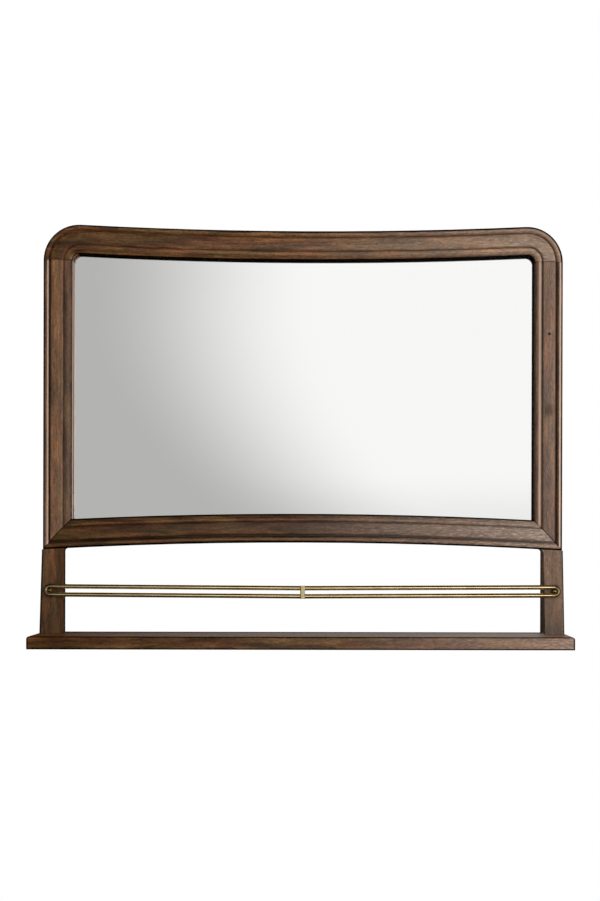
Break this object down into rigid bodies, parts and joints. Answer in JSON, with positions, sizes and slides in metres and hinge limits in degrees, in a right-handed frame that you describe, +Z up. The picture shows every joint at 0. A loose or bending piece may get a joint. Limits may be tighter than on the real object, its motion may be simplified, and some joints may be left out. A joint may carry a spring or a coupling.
{
  "type": "mirror with shelf",
  "caption": "Wall mirror in a moulded hardwood frame, carried on posts over a narrow shelf, with a brass rail across the gap between them.",
  "frame": {"origin": "midway between the round entries of the two keyholes, on the wall plane", "axes": "+X to the right as seen from the front, -Y towards the viewer, +Z up; the wall is the plane y = 0"},
  "size_m": [0.911, 0.115, 0.7274],
  "materials": {
    "hardwood": "brown stained and satin lacquered, with open pores",
    "mirror": "silvered float glass",
    "brass": "polished",
    "backing": "smooth hardboard",
    "dowel": "bare beech",
    "zinc": "zinc plated"
  },
  "bodies": {
    "root": {"top_rail": "hardwood", "left_stile": "hardwood", "right_stile": "hardwood", "bottom_rail": "hardwood", "stile_dowels": "dowel", "mirror_glass": "mirror", "backing_panel": "backing", "panel_screws": "zinc", "left_post": "hardwood", "right_post": "hardwood", "post_dowels": "dowel", "shelf_board": "hardwood", "shelf_screws": "zinc", "left_rail_loop": "brass", "right_rail_loop": "brass", "rail_spacer": "brass", "rail_screws": "brass", "left_hanger": "zinc", "right_hanger": "zinc", "hanger_screws": "zinc"}
  },
  "joints": []
}
